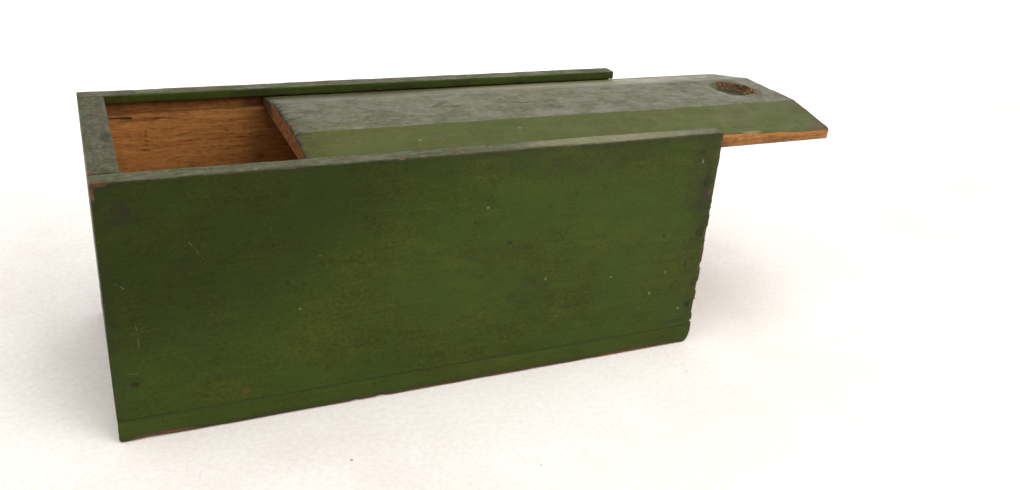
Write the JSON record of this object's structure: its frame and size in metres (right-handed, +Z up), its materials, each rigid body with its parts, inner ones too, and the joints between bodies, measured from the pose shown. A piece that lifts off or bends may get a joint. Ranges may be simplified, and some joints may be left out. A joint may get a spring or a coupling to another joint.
{
  "type": "sliding-lid box",
  "caption": "Narrow painted wooden box with a bevelled lid that slides in grooves and a gouged thumb notch to pull it by.",
  "frame": {"origin": "middle of the box's underside, on the surface it stands on", "axes": "+X along the box, the way the lid slides open; +Y across it, from the front side to the back side; +Z up"},
  "size_m": [0.3089, 0.102, 0.1026],
  "materials": {
    "painted_boards": "old forest-green oil paint, semi-gloss, rubbed through to brown pine along the edges",
    "painted_lid": "the same green paint, dulled and rubbed grey-green on top, bare wood along the sliding edges and in the thumb notch",
    "nail_iron": "rusted iron under a film of paint"
  },
  "bodies": {
    "carcass": {"front_side": "painted_boards", "back_side": "painted_boards", "stop_end": "painted_boards", "low_end": "painted_boards", "bottom_board": "painted_boards", "nail_front_stop_end_top": "nail_iron", "nail_back_stop_end_top": "nail_iron", "nail_front_stop_end_low": "nail_iron", "nail_back_stop_end_low": "nail_iron", "nail_front_low_end_top": "nail_iron", "nail_back_low_end_top": "nail_iron", "nail_front_low_end_middle": "nail_iron", "nail_back_low_end_middle": "nail_iron", "nail_front_low_end_low": "nail_iron", "nail_back_low_end_low": "nail_iron", "nail_bottom_front_1": "nail_iron", "nail_bottom_front_2": "nail_iron", "nail_bottom_front_3": "nail_iron", "nail_bottom_front_4": "nail_iron", "nail_bottom_back_1": "nail_iron", "nail_bottom_back_2": "nail_iron", "nail_bottom_back_3": "nail_iron", "nail_bottom_back_4": "nail_iron", "nail_bottom_stop_end_front": "nail_iron", "nail_bottom_low_end_front": "nail_iron", "nail_bottom_stop_end_back": "nail_iron", "nail_bottom_low_end_back": "nail_iron"},
    "lid": {"sliding_lid": "painted_lid"}
  },
  "joints": [
    {"name": "lid_slide", "type": "slide", "parent": "carcass", "child": "lid", "axis": [1, 0, 0], "range_m": [-0.0629, 0.1725]}
  ]
}
